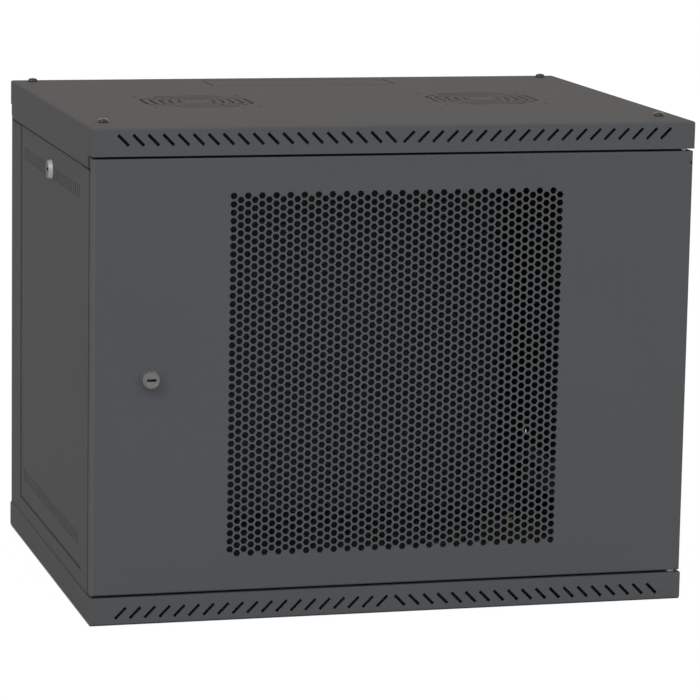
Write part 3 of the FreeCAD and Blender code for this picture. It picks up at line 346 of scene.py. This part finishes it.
def plated(name, base, roughness, brushed, edge=1.0):
    """Plated metal with fine turning marks or zinc bloom; edge dims what it shows when seen flat on, and
    below 1 it paints shade, as on the side locks' dimmer copies.
    """
    material, graph, shader, place = new_material(name, base, roughness, metallic=1.0)
    shader.inputs["Specular Tint"].default_value = (edge, edge, edge, 1)
    bloom = noise(graph, place, 2.5 * MM, 3.0, 0.6)
    fine = noise(graph, place, 0.35 * MM, 2.0, 0.6)
    link(graph, tint(graph, base, bloom * 0.6 + fine * 0.4, 0.86, 1.1), shader, "Base Color")
    link(graph, roughness - 0.06 + bloom * 0.1 + fine * brushed, shader, "Roughness")
    bump(graph, shader, fine, 0.02 * MM, 0.4)
    return material


def moulded(name, base, roughness):
    """Rubber or plastic with a fine spark-eroded grain."""
    material, graph, shader, place = new_material(name, base, roughness)
    grain = noise(graph, place, 0.4 * MM, 2.0, 0.6)
    smear = noise(graph, place, 4 * MM, 2.0, 0.5)
    link(graph, tint(graph, base, grain * 0.5 + smear * 0.5, 0.88, 1.1), shader, "Base Color")
    link(graph, roughness - 0.05 + smear * 0.12, shader, "Roughness")
    bump(graph, shader, grain, 0.04 * MM, 0.4)
    return material


def finish_of(slot):
    """The material of a record's slot, or of a piece that differs from its slot, made once."""
    name = slot + "_finish"
    colours = bpy.context.scene.cabinet_finishes
    makers = {
        "powder_coat": lambda: powder_coat(name, colours.powder),
        "rail_paint": lambda: powder_coat(name, colours.rail),
        "nickel": lambda: plated(name, colours.nickel, roughness=0.26, brushed=0.06),
        # bezel: satin copy of the nickel, made lighter as a painted highlight on its flank
        "bezel": lambda: plated(name, colours.bezel, roughness=0.5, brushed=0.08),
        # painted shade: the side locks' nickel and bezel are dimmer copies of the door lock's metals, for how
        # light falls on the sides
        "side_nickel": lambda: plated(name, colours.nickel, roughness=0.3, brushed=0.06, edge=0.5),
        "side_bezel": lambda: plated(name, colours.bezel, roughness=0.5, brushed=0.08, edge=0.25),
        # screw: dark copy of the nickel, a painted shade for dark reflections
        "screw": lambda: plated(name, colours.screw, roughness=0.14, brushed=0.05),
        "zinc_steel": lambda: plated(name, colours.zinc, roughness=0.42, brushed=0.1),
        "rubber": lambda: moulded(name, colours.rubber, roughness=0.7),
        "earth_yellow": lambda: moulded(name, colours.earth, roughness=0.5),
    }
    return bpy.data.materials.get(name) or makers[slot]()


# ---------------------------------------------------------------- mesh helpers

def new_object(name, bm, material, smooth_angle=None):
    """A plain object at the origin from a bmesh, with one material."""
    mesh = bpy.data.meshes.new(name)
    bm.normal_update()
    bm.to_mesh(mesh)
    bm.free()
    mesh.materials.append(material)
    thing = bpy.data.objects.new(name, mesh)
    bpy.context.scene.collection.objects.link(thing)
    if smooth_angle is not None:
        mesh.polygons.foreach_set("use_smooth", [True] * len(mesh.polygons))
        mesh.set_sharp_from_angle(angle=smooth_angle)
    return thing


def settle(thing, body, slot, *nodes):
    """Ride a finished piece on its body in place of its solids."""
    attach(thing, body)
    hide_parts(*nodes)


def baked(thing):
    """Turn an object with a node modifier into a plain mesh without it."""
    bpy.context.view_layer.update()
    graph = bpy.context.evaluated_depsgraph_get()
    mesh = bpy.data.meshes.new_from_object(thing.evaluated_get(graph), depsgraph=graph)
    thing.modifiers.clear()
    old = thing.data
    thing.data = mesh
    bpy.data.meshes.remove(old)
    return thing


def node_group(name, inputs):
    """A geometry tree with named inputs; returns its graph and the group input node."""
    tree = bpy.data.node_groups.new(name, "GeometryNodeTree")
    tree.interface.new_socket("Geometry", in_out="INPUT", socket_type="NodeSocketGeometry")
    for label, kind in inputs:
        tree.interface.new_socket(label, in_out="INPUT", socket_type="NodeSocket" + kind)
    tree.interface.new_socket("Geometry", in_out="OUTPUT", socket_type="NodeSocketGeometry")
    graph = Graph(tree)
    return graph, graph.add("NodeGroupInput")


def close_group(graph, geometry, given):
    """End a geometry tree in Realize Instances and Set Material."""
    real = graph.node("GeometryNodeRealizeInstances", None, geometry)
    painted = graph.node("GeometryNodeSetMaterial", None, real, Material=graph.output(given, "Material"))
    graph.add("NodeGroupOutput", None, painted)


def run_group(thing, graph, settings):
    """Put the tree on an object, with its inputs set by their identifiers, and bake it."""
    modifier = thing.modifiers.new("Build", "NODES")
    modifier.node_group = graph.tree
    for item in graph.tree.interface.items_tree:
        if item.in_out == "INPUT" and item.name in settings:
            modifier[item.identifier] = settings[item.name]
    return baked(thing)


def circle_points(radius, count):
    """Points of a circle about the origin."""
    turns = [2 * math.pi * i / count for i in range(count)]
    return [(radius * math.cos(turn), radius * math.sin(turn)) for turn in turns]


def lathe(bm, profile, count, transform):
    """Revolve (radius, place) points about Z and move the result; a radius of 0 closes it."""
    rings = []
    for radius, place in profile:
        spots = circle_points(radius, count) if radius else [(0, 0)]
        rings.append([bm.verts.new(transform @ Vector((x, y, place))) for x, y in spots])
    for near, far in zip(rings, rings[1:]):
        for i in range(count):
            j = (i + 1) % count
            round_face = [near[i % len(near)], near[j % len(near)], far[j % len(far)], far[i % len(far)]]
            bm.faces.new(list(dict.fromkeys(round_face)))
    return rings


def open_rim(bm, ring):
    """Edges of a lathe's last ring."""
    return [bm.edges.get((ring[i], ring[(i + 1) % len(ring)])) for i in range(len(ring))]


def sunk(bm, rim, top_points, bottom_points, normal):
    """Fill the face inside a rim, all but a closed recess between two outlines."""
    top, edges = outline(bm, top_points)
    bottom = [bm.verts.new(point) for point in bottom_points]
    bmesh.ops.triangle_fill(bm, edges=rim + edges, use_beauty=True, normal=normal)
    wall(bm, top, bottom)
    bm.faces.new(bottom)
    bmesh.ops.recalc_face_normals(bm, faces=bm.faces)


def rounded(profile, corner, radius, steps=4):
    """Replace one corner of a (radius, place) profile by an arc."""
    before, point, after = (Vector(profile[corner + i]) for i in (-1, 0, 1))
    start = point + (before - point).normalized() * radius
    end = point + (after - point).normalized() * radius
    arc = []
    for i in range(steps + 1):
        share = i / steps
        arc.append(tuple(start.lerp(point, share).lerp(point.lerp(end, share), share)))
    return profile[:corner] + arc + profile[corner + 1:]


def facing(axis):
    """Rotation that turns +Z to an axis, keeping a key slot level."""
    if axis == "-Y":
        return Matrix.Rotation(math.radians(90), 4, "X")
    side = 1 if axis == "+X" else -1
    return Matrix(((0, 0, side, 0), (side, 0, 0, 0), (0, 1, 0, 0), (0, 0, 0, 1)))


def outline(bm, points):
    """Closed loop of edges through new vertices."""
    verts = [bm.verts.new(point) for point in points]
    return verts, [bm.edges.new((verts[i], verts[(i + 1) % len(verts)])) for i in range(len(verts))]


def wall(bm, near, far):
    """Quads between two equal loops of vertices."""
    for i in range(len(near)):
        j = (i + 1) % len(near)
        bm.faces.new((near[i], near[j], far[j], far[i]))


# ---------------------------------------------------------------- door

def perforation_tree():
    """Hexagonal cells with a hexagonal hole each, in staggered columns."""
    graph, given = node_group("Perforation", [("Columns", "Int"), ("Rows", "Int"), ("Pitch", "Float"),
                                              ("Flats", "Float"), ("Sheet", "Float"),
                                              ("Material", "Material")])
    pitch, flats, sheet = (graph.output(given, name) for name in ("Pitch", "Flats", "Sheet"))
    columns, rows = graph.output(given, "Columns"), graph.output(given, "Rows")
    cell = graph.node("GeometryNodeMeshCircle", {"fill_type": "NGON"}, 6, pitch / math.sqrt(3))
    inset = graph.add("GeometryNodeExtrudeMesh", {"mode": "FACES"}, cell, Offset_Scale=0.0)
    shrunk = graph.node("GeometryNodeScaleElements", {"domain": "FACE"},
                        graph.output(inset, "Mesh"), graph.output(inset, "Top"), flats / pitch)
    front = graph.node("GeometryNodeDeleteGeometry", {"domain": "FACE"}, shrunk, graph.output(inset, "Top"))
    drop = graph.node("ShaderNodeCombineXYZ", None, 0.0, 0.0, 0.0 - sheet)
    back = graph.node("GeometryNodeFlipFaces", None,
                      graph.node("GeometryNodeTransform", None, front, Translation=drop))
    tube = graph.node("GeometryNodeMeshCylinder", {"fill_type": "NONE"}, 6, 1, 1, flats / math.sqrt(3), sheet)
    half = graph.node("ShaderNodeCombineXYZ", None, 0.0, 0.0, sheet * -0.5)
    bore = graph.node("GeometryNodeFlipFaces", None,
                      graph.node("GeometryNodeTransform", None, tube, Translation=half))
    piece = graph.node("GeometryNodeJoinGeometry", None, [front, back, bore])
    step = pitch * math.cos(math.radians(30))
    grid = graph.node("GeometryNodeMeshGrid", None, (columns - 1) * step, (rows - 1) * pitch, columns, rows)
    across = graph.parts(graph.node("GeometryNodeInputPosition"))[0]
    column = (across / step + (columns - 1) * 0.5 + 0.5).floor()
    stagger = (0.5 - column.modulo(2)) * pitch * 0.5
    offset = graph.node("ShaderNodeCombineXYZ", None, 0.0, stagger, 0.0)
    points = graph.node("GeometryNodeSetPosition", None, grid, Offset=offset)
    cells = graph.node("GeometryNodeInstanceOnPoints", None, points, Instance=piece)
    joined = graph.node("GeometryNodeMergeByDistance", None,
                        graph.node("GeometryNodeRealizeInstances", None, cells), Distance=CLOSE)
    close_group(graph, joined, given)
    return graph


def rectangle(half_x, low, high, y):
    """Upright rectangle about the middle plane."""
    return [(-half_x, y, low), (half_x, y, low), (half_x, y, high), (-half_x, y, high)]


def door_profile(sizes, depth):
    """(inset from the outline, depth behind the front) round the folded edge, outside then inside."""
    bend, sheet = sizes.fold, sizes.sheet
    inner = bend - sheet

    def arc(centre, radius, start, end, steps=5):
        angles = [math.radians(start + (end - start) * i / steps) for i in range(steps + 1)]
        return [(centre[0] + radius * math.cos(a), centre[1] + radius * math.sin(a)) for a in angles]

    outside = arc((bend, bend), bend, 270, 180) + arc((bend, depth - bend), bend, 180, 90)
    inside = (arc((bend, depth - bend), inner, 90, 180) + arc((bend, bend), inner, 180, 270))
    return outside + [(sizes.lip, depth), (sizes.lip, depth - sheet)] + inside


def build_door(sizes):
    """One folded skin: perforated field, plain border, rounded folds and lips."""
    low, high = corners("door_panel")
    front, depth = low.y, high.y - low.y
    paint = finish_of("powder_coat")
    field = bpy.data.objects.new("field", bpy.data.meshes.new("field"))
    bpy.context.scene.collection.objects.link(field)
    run_group(field, perforation_tree(), {
        "Columns": sizes.columns, "Rows": sizes.rows, "Pitch": sizes.pitch,
        "Flats": sizes.flats, "Sheet": sizes.sheet, "Material": paint})
    bm = bmesh.new()
    bm.from_mesh(field.data)
    bpy.data.objects.remove(field)
    upright = Matrix.Translation((0, front, (low.z + high.z) / 2)) @ Matrix.Rotation(math.pi / 2, 4, "X")
    bm.transform(upright)
    rims = [edge for edge in bm.edges if edge.is_boundary]
    half = high.x
    loops = []
    for inset, back in door_profile(sizes, depth):
        loops.append(outline(bm, rectangle(half - inset, low.z + inset, high.z - inset, front + back)))
    for (near, _), (far, _) in zip(loops, loops[1:]):
        wall(bm, near, far)
    lock = middle("door_lock_housing")
    holes = []
    for plane, (verts, edges) in ((front, loops[0]), (front + sizes.sheet, loops[-1])):
        ring = [(lock.x + x, plane, lock.z + z) for x, z in circle_points(sizes.lock_hole, SMALL_ROUND)]
        hole, hole_edges = outline(bm, ring)
        holes.append(hole)
        rim = [edge for edge in rims if abs(edge.verts[0].co.y - plane) < 0.1 * sizes.sheet]
        bmesh.ops.triangle_fill(bm, edges=edges + hole_edges + rim, use_beauty=True, normal=(0, -1, 0))
    wall(bm, *holes)
    bmesh.ops.recalc_face_normals(bm, faces=bm.faces)
    return new_object("door_skin", bm, paint)


# ---------------------------------------------------------------- locks

def slot_points(length, width, steps=6):
    """Outline of a key slot with round ends."""
    points = []
    for side, start in ((1, -90), (-1, 90)):
        for i in range(steps + 1):
            angle = math.radians(start + 180 * i / steps)
            points.append((side * (length - width) / 2 + width / 2 * math.cos(angle),
                           width / 2 * math.sin(angle)))
    return points


def build_bezel(name, place, length, proud, radius, finish, sizes):
    """Barrel with a rounded bezel, and a well for the turning face."""
    core, face, well = sizes.core, sizes.face + sizes.gap, sizes.well
    profile = [(core, -length), (sizes.barrel, -length), (sizes.barrel, -proud), (radius, -proud),
               (radius - sizes.taper, 0), (face, 0), (face, -well), (core, -well), (core, -length)]
    profile = rounded(profile, 4, sizes.edge)
    bm = bmesh.new()
    lathe(bm, profile, ROUND, place)
    bmesh.ops.remove_doubles(bm, verts=bm.verts, dist=CLOSE)
    bmesh.ops.recalc_face_normals(bm, faces=bm.faces)
    return new_object(name, bm, finish, SMOOTH)


def build_plug(name, place, length, finish, sizes):
    """Core whose dished face carries the key slot."""
    core, seat, face = sizes.core - sizes.gap, sizes.gap - sizes.well, sizes.face
    end, land = -length - sizes.tail, face - sizes.rim
    profile = [(0, end), (core, end), (core, seat), (face, seat), (face, -sizes.chamfer),
               (face - sizes.chamfer, 0), (land, 0), (land - sizes.dish, -sizes.dish)]
    bm = bmesh.new()
    rings = lathe(bm, profile, ROUND, place)
    slot = slot_points(sizes.slot_length, sizes.slot_width)
    top, bottom = ([place @ Vector((x, y, -depth)) for x, y in slot]
                   for depth in (sizes.dish, sizes.dish + sizes.slot_depth))
    sunk(bm, open_rim(bm, rings[-1]), top, bottom, place.to_3x3() @ Vector((0, 0, 1)))
    return new_object(name, bm, finish, SMOOTH)


def build_lock(prefix, axis, body, core_body, sizes):
    """Bezel and turning plug of one lock, in the place of its housing and core."""
    low, high = corners(prefix + "_housing")
    radius = (high.z - low.z) / 2
    tip = (low + high) / 2
    if axis == "-Y":
        kind, seat_low = "", corners("door_panel")[0]
        tip.y, length, proud = low.y, high.y - low.y, seat_low.y - low.y
    else:
        # side locks take the dimmed side_ copies of the metals, a painted shade
        kind, (seat_low, seat_high) = "side_", corners(body)
        length = high.x - low.x
        tip.x, proud = (high.x, high.x - seat_high.x) if axis == "+X" else (low.x, seat_low.x - low.x)
    place = Matrix.Translation(tip) @ facing(axis)
    bezel = build_bezel(prefix + "_bezel", place, length, proud, radius, finish_of(kind + "bezel"), sizes)
    settle(bezel, body, "nickel", prefix + "_housing")
    plug = build_plug(prefix + "_plug", place, length, finish_of(kind + "nickel"), sizes)
    settle(plug, core_body, "nickel", prefix + "_core")


# ---------------------------------------------------------------- fasteners

def scatter_tree():
    """Put a master object on each vertex of the carrier."""
    graph, given = node_group("Scatter", [("Master", "Object"), ("Material", "Material")])
    master = graph.add("GeometryNodeObjectInfo", None, graph.output(given, "Master"))
    spots = graph.node("GeometryNodeMeshToPoints", None, graph.output(given, "Geometry"))
    copies = graph.node("GeometryNodeInstanceOnPoints", None, spots,
                        Instance=graph.output(master, "Geometry"))
    close_group(graph, copies, given)
    return graph


def scatter(name, master, spots, material):
    """Copies of a master at the spots, as one plain mesh; the master is deleted."""
    carrier = bpy.data.meshes.new(name)
    carrier.from_pydata(spots, [], [])
    thing = bpy.data.objects.new(name, carrier)
    bpy.context.scene.collection.objects.link(thing)
    run_group(thing, scatter_tree(), {"Master": master, "Material": material})
    bpy.data.objects.remove(master)
    return thing


def cross_points(arm, half):
    """Outline of a cross with arms of a reach and half a width."""
    points, quarter = [], [(arm, -half), (arm, half), (half, half)]
    for _ in range(4):
        points += quarter
        quarter = [(-y, x) for x, y in quarter]
    return points


def pan_head_master(sizes, radius, height, length):
    """Pan-head screw with a cross recess, head seat at z = 0."""
    crown, cheek, steps, narrowing, sinking = 0.38, 0.2, 6, 0.7, 0.7
    dome = [(0, -length), (sizes.shank, -length), (sizes.shank, 0), (radius, 0), (radius, height * cheek)]
    for i in range(1, steps + 1):
        angle = math.radians(90 * i / steps)
        dome.append((radius * (crown + (1 - crown) * math.cos(angle)),
                     height * (cheek + (1 - cheek) * math.sin(angle))))
    bm = bmesh.new()
    rings = lathe(bm, dome, SMALL_ROUND, Matrix.Identity(4))
    cross = cross_points(min(sizes.recess, radius * crown), sizes.recess_width / 2)
    top = [Vector((x, y, height)) for x, y in cross]
    bottom = [Vector((x * narrowing, y * narrowing, height * (1 - sinking))) for x, y in cross]
    sunk(bm, open_rim(bm, rings[-1]), top, bottom, (0, 0, 1))
    return new_object("screw_master", bm, finish_of("screw"), SMOOTH)


def coil_tree():
    """Round wire along a spiral that stands on the origin."""
    graph, given = node_group("Coil", [("Turns", "Float"), ("Radius", "Float"), ("Wire", "Float"),
                                       ("Length", "Float"), ("Material", "Material")])
    radius = graph.output(given, "Radius")
    path = graph.node("GeometryNodeCurveSpiral", None, 24, graph.output(given, "Turns"), radius, radius,
                      graph.output(given, "Length"))
    ring = graph.node("GeometryNodeCurvePrimitiveCircle", None, Resolution=10,
                      Radius=graph.output(given, "Wire"))
    wire = graph.node("GeometryNodeCurveToMesh", None, path, ring, Fill_Caps=True)
    close_group(graph, wire, given)
    return graph


# ---------------------------------------------------------------- light and floor

def sun(name, towards, strength, spread, colour):
    """A distant lamp in a direction from the object, with a soft edge of spread degrees."""
    lamp = bpy.data.lights.new(name, "SUN")
    lamp.energy = strength
    lamp.angle = math.radians(spread)
    lamp.color = colour
    thing = bpy.data.objects.new(name, lamp)
    thing.rotation_euler = Vector(towards).to_track_quat("Z", "Y").to_euler()
    bpy.context.scene.collection.objects.link(thing)


def seen_rays(graph):
    """1 for rays that show the background itself, to the eye, in metal or through glass."""
    rays = graph.add("ShaderNodeLightPath")
    seen = graph.output(rays, "Is Camera Ray") + graph.output(rays, "Is Glossy Ray")
    return seen + graph.output(rays, "Is Transmission Ray")


def surroundings(light):
    """Even room with a ceiling light and soft walls of light, white where it is seen itself."""
    world = bpy.data.worlds.new("surroundings")
    world.use_nodes = True
    graph = Graph(world.node_tree)
    towards = graph.output(graph.add("ShaderNodeTexCoord"), "Generated")
    x, y, z = graph.parts(towards)
    channels = []
    lights = zip(light.room, light.ceiling, light.front, light.back, light.sides)
    for room, ceiling, front, back, sides in lights:
        walls = (-y).at_least(0) * front + y.at_least(0) * back + x.absolute() * sides
        channels.append(room + z.at_least(0) * ceiling + walls)
    colour = graph.node("ShaderNodeCombineXYZ", None, *channels)
    air = graph.node("ShaderNodeBackground", None, colour, 1.0)
    white = graph.node("ShaderNodeBackground", None, (1, 1, 1, 1), 1.0)
    mixed = graph.node("ShaderNodeMixShader", None, seen_rays(graph), air, white)
    graph.add("ShaderNodeOutputWorld", None, mixed)
    return world


def floor_material(colour, light):
    """Pale floor, seen white beside the cabinet and dark beneath it."""
    material = bpy.data.materials.new("floor_finish")
    material.use_nodes = True
    graph = Graph(material.node_tree)
    x, y, _ = graph.parts(graph.output(graph.add("ShaderNodeTexCoord"), "Object"))
    edge = corners("bottom_cover")[1]
    beside = 1 - (x.absolute() < edge.x) * (y.absolute() < edge.y)
    diffuse = graph.node("ShaderNodeBsdfDiffuse", None, (*colour, 1))
    white = graph.node("ShaderNodeEmission", None, (1, 1, 1, 1), light.glow)
    mixed = graph.node("ShaderNodeMixShader", None, seen_rays(graph) * beside * light.share, diffuse, white)
    graph.add("ShaderNodeOutputMaterial", None, mixed)
    return material


# ---------------------------------------------------------------- operators

class CABINET_OT_finishes(bpy.types.Operator):
    """Give every solid the finish of its slot"""
    bl_idname = "cabinet.finishes"
    bl_label = "Finishes"

    def execute(self, context):
        for row in frame["record"]["subparts"]:
            thing = frame["nodes"][row["node"]]
            thing.data.materials.clear()
            thing.data.materials.append(finish_of(row["material_slot"]))
        return {"FINISHED"}


class CABINET_OT_door(bpy.types.Operator):
    """Build the perforated door skin"""
    bl_idname = "cabinet.door"
    bl_label = "Door"

    def execute(self, context):
        settle(build_door(context.scene.cabinet_door), "door", "powder_coat", "door_panel")
        return {"FINISHED"}


class CABINET_OT_locks(bpy.types.Operator):
    """Build the three cam locks"""
    bl_idname = "cabinet.locks"
    bl_label = "Locks"

    def execute(self, context):
        sizes = context.scene.cabinet_lock
        build_lock("door_lock", "-Y", "door", "door_lock", sizes)
        for hand, axis in (("left", "-X"), ("right", "+X")):
            build_lock(f"side_lock_{hand}", axis, f"side_panel_{hand}", f"side_lock_{hand}", sizes)
        return {"FINISHED"}


class CABINET_OT_screws(bpy.types.Operator):
    """Build the cover's pan-head screws"""
    bl_idname = "cabinet.screws"
    bl_label = "Screws"

    def execute(self, context):
        sizes = context.scene.cabinet_fastener
        low, high = corners("cover_screws")
        roof = corners("top_cover")[1].z
        head = (high.x - low.x - sizes.spread) / 2
        spots = [(x, y, roof) for x in (low.x + head, high.x - head) for y in (low.y + head, high.y - head)]
        master = pan_head_master(sizes, head, high.z - roof, roof - low.z)
        thing = scatter("cover_screw_heads", master, spots, finish_of("screw"))
        settle(thing, "cabinet", "nickel", "cover_screws")
        return {"FINISHED"}


class CABINET_OT_spring(bpy.types.Operator):
    """Wind the hinge pin's spring"""
    bl_idname = "cabinet.spring"
    bl_label = "Spring"

    def execute(self, context):
        sizes = context.scene.cabinet_fastener
        low, high = corners("hinge_pin_spring")
        thing = bpy.data.objects.new("hinge_spring_coil", bpy.data.meshes.new("hinge_spring_coil"))
        context.scene.collection.objects.link(thing)
        radius = (high.x - low.x) / 2 - sizes.wire
        run_group(thing, coil_tree(), {
            "Turns": float(sizes.coils), "Radius": radius, "Wire": sizes.wire,
            "Length": high.z - low.z - 2 * sizes.wire, "Material": finish_of("zinc_steel")})
        base = middle("hinge_pin_spring")
        base.z = low.z + sizes.wire
        thing.data.transform(Matrix.Translation(base))
        settle(thing, "door", "zinc_steel", "hinge_pin_spring")
        return {"FINISHED"}


class CABINET_OT_stage(bpy.types.Operator):
    """Set the floor, the lights and the camera"""
    bl_idname = "cabinet.stage"
    bl_label = "Stage"

    def execute(self, context):
        scene = context.scene
        stage, light = scene.cabinet_stage, scene.cabinet_light
        scene.view_settings.view_transform = "Standard"
        scene.world = surroundings(light)
        sun("key", light.key_from, light.key_strength, light.key_spread, light.key)

        bm = bmesh.new()
        bmesh.ops.create_grid(bm, x_segments=1, y_segments=1, size=stage.floor)
        new_object("floor", bm, floor_material(scene.cabinet_finishes.floor, light))

        lens = bpy.data.cameras.new("camera")
        lens.lens = stage.lens
        lens.sensor_width = 36
        lens.clip_end = 100
        camera = bpy.data.objects.new("camera", lens)
        turn = (Matrix.Rotation(-stage.yaw, 4, "Z") @ Matrix.Rotation(math.pi / 2 + stage.pitch, 4, "X")
                @ Matrix.Rotation(stage.roll, 4, "Z"))
        camera.matrix_world = Matrix.Translation(stage.place) @ turn
        scene.collection.objects.link(camera)
        scene.camera = camera
        return {"FINISHED"}


class CABINET_PT_panel(bpy.types.Panel):
    """Lists the steps and sizes"""
    bl_label = "Network cabinet"
    bl_idname = "CABINET_PT_panel"
    bl_space_type = "VIEW_3D"
    bl_region_type = "UI"
    bl_category = "Cabinet"

    def draw(self, context):
        for step in STEPS:
            self.layout.operator(step.bl_idname)
        for group in GROUPS:
            sizes = getattr(context.scene, group)
            for name in sizes.__annotations__:
                self.layout.prop(sizes, name)


GROUPS = {
    "cabinet_door": DoorSizes,
    "cabinet_lock": LockSizes,
    "cabinet_fastener": FastenerSizes,
    "cabinet_finishes": Finishes,
    "cabinet_stage": StageSizes,
    "cabinet_light": Light,
}
STEPS = [CABINET_OT_stage, CABINET_OT_finishes, CABINET_OT_door, CABINET_OT_locks, CABINET_OT_screws,
         CABINET_OT_spring]


def register():
    for kind in [*GROUPS.values(), *STEPS, CABINET_PT_panel]:
        bpy.utils.register_class(kind)
    for name, kind in GROUPS.items():
        setattr(bpy.types.Scene, name, PointerProperty(type=kind))


def unregister():
    for name in GROUPS:
        delattr(bpy.types.Scene, name)
    for kind in reversed([*GROUPS.values(), *STEPS, CABINET_PT_panel]):
        bpy.utils.unregister_class(kind)


def main():
    """Build everything in order."""
    register()
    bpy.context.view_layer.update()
    for step in STEPS:
        group, name = step.bl_idname.split(".")
        getattr(getattr(bpy.ops, group), name)()


if __name__ == "__main__":
    main()
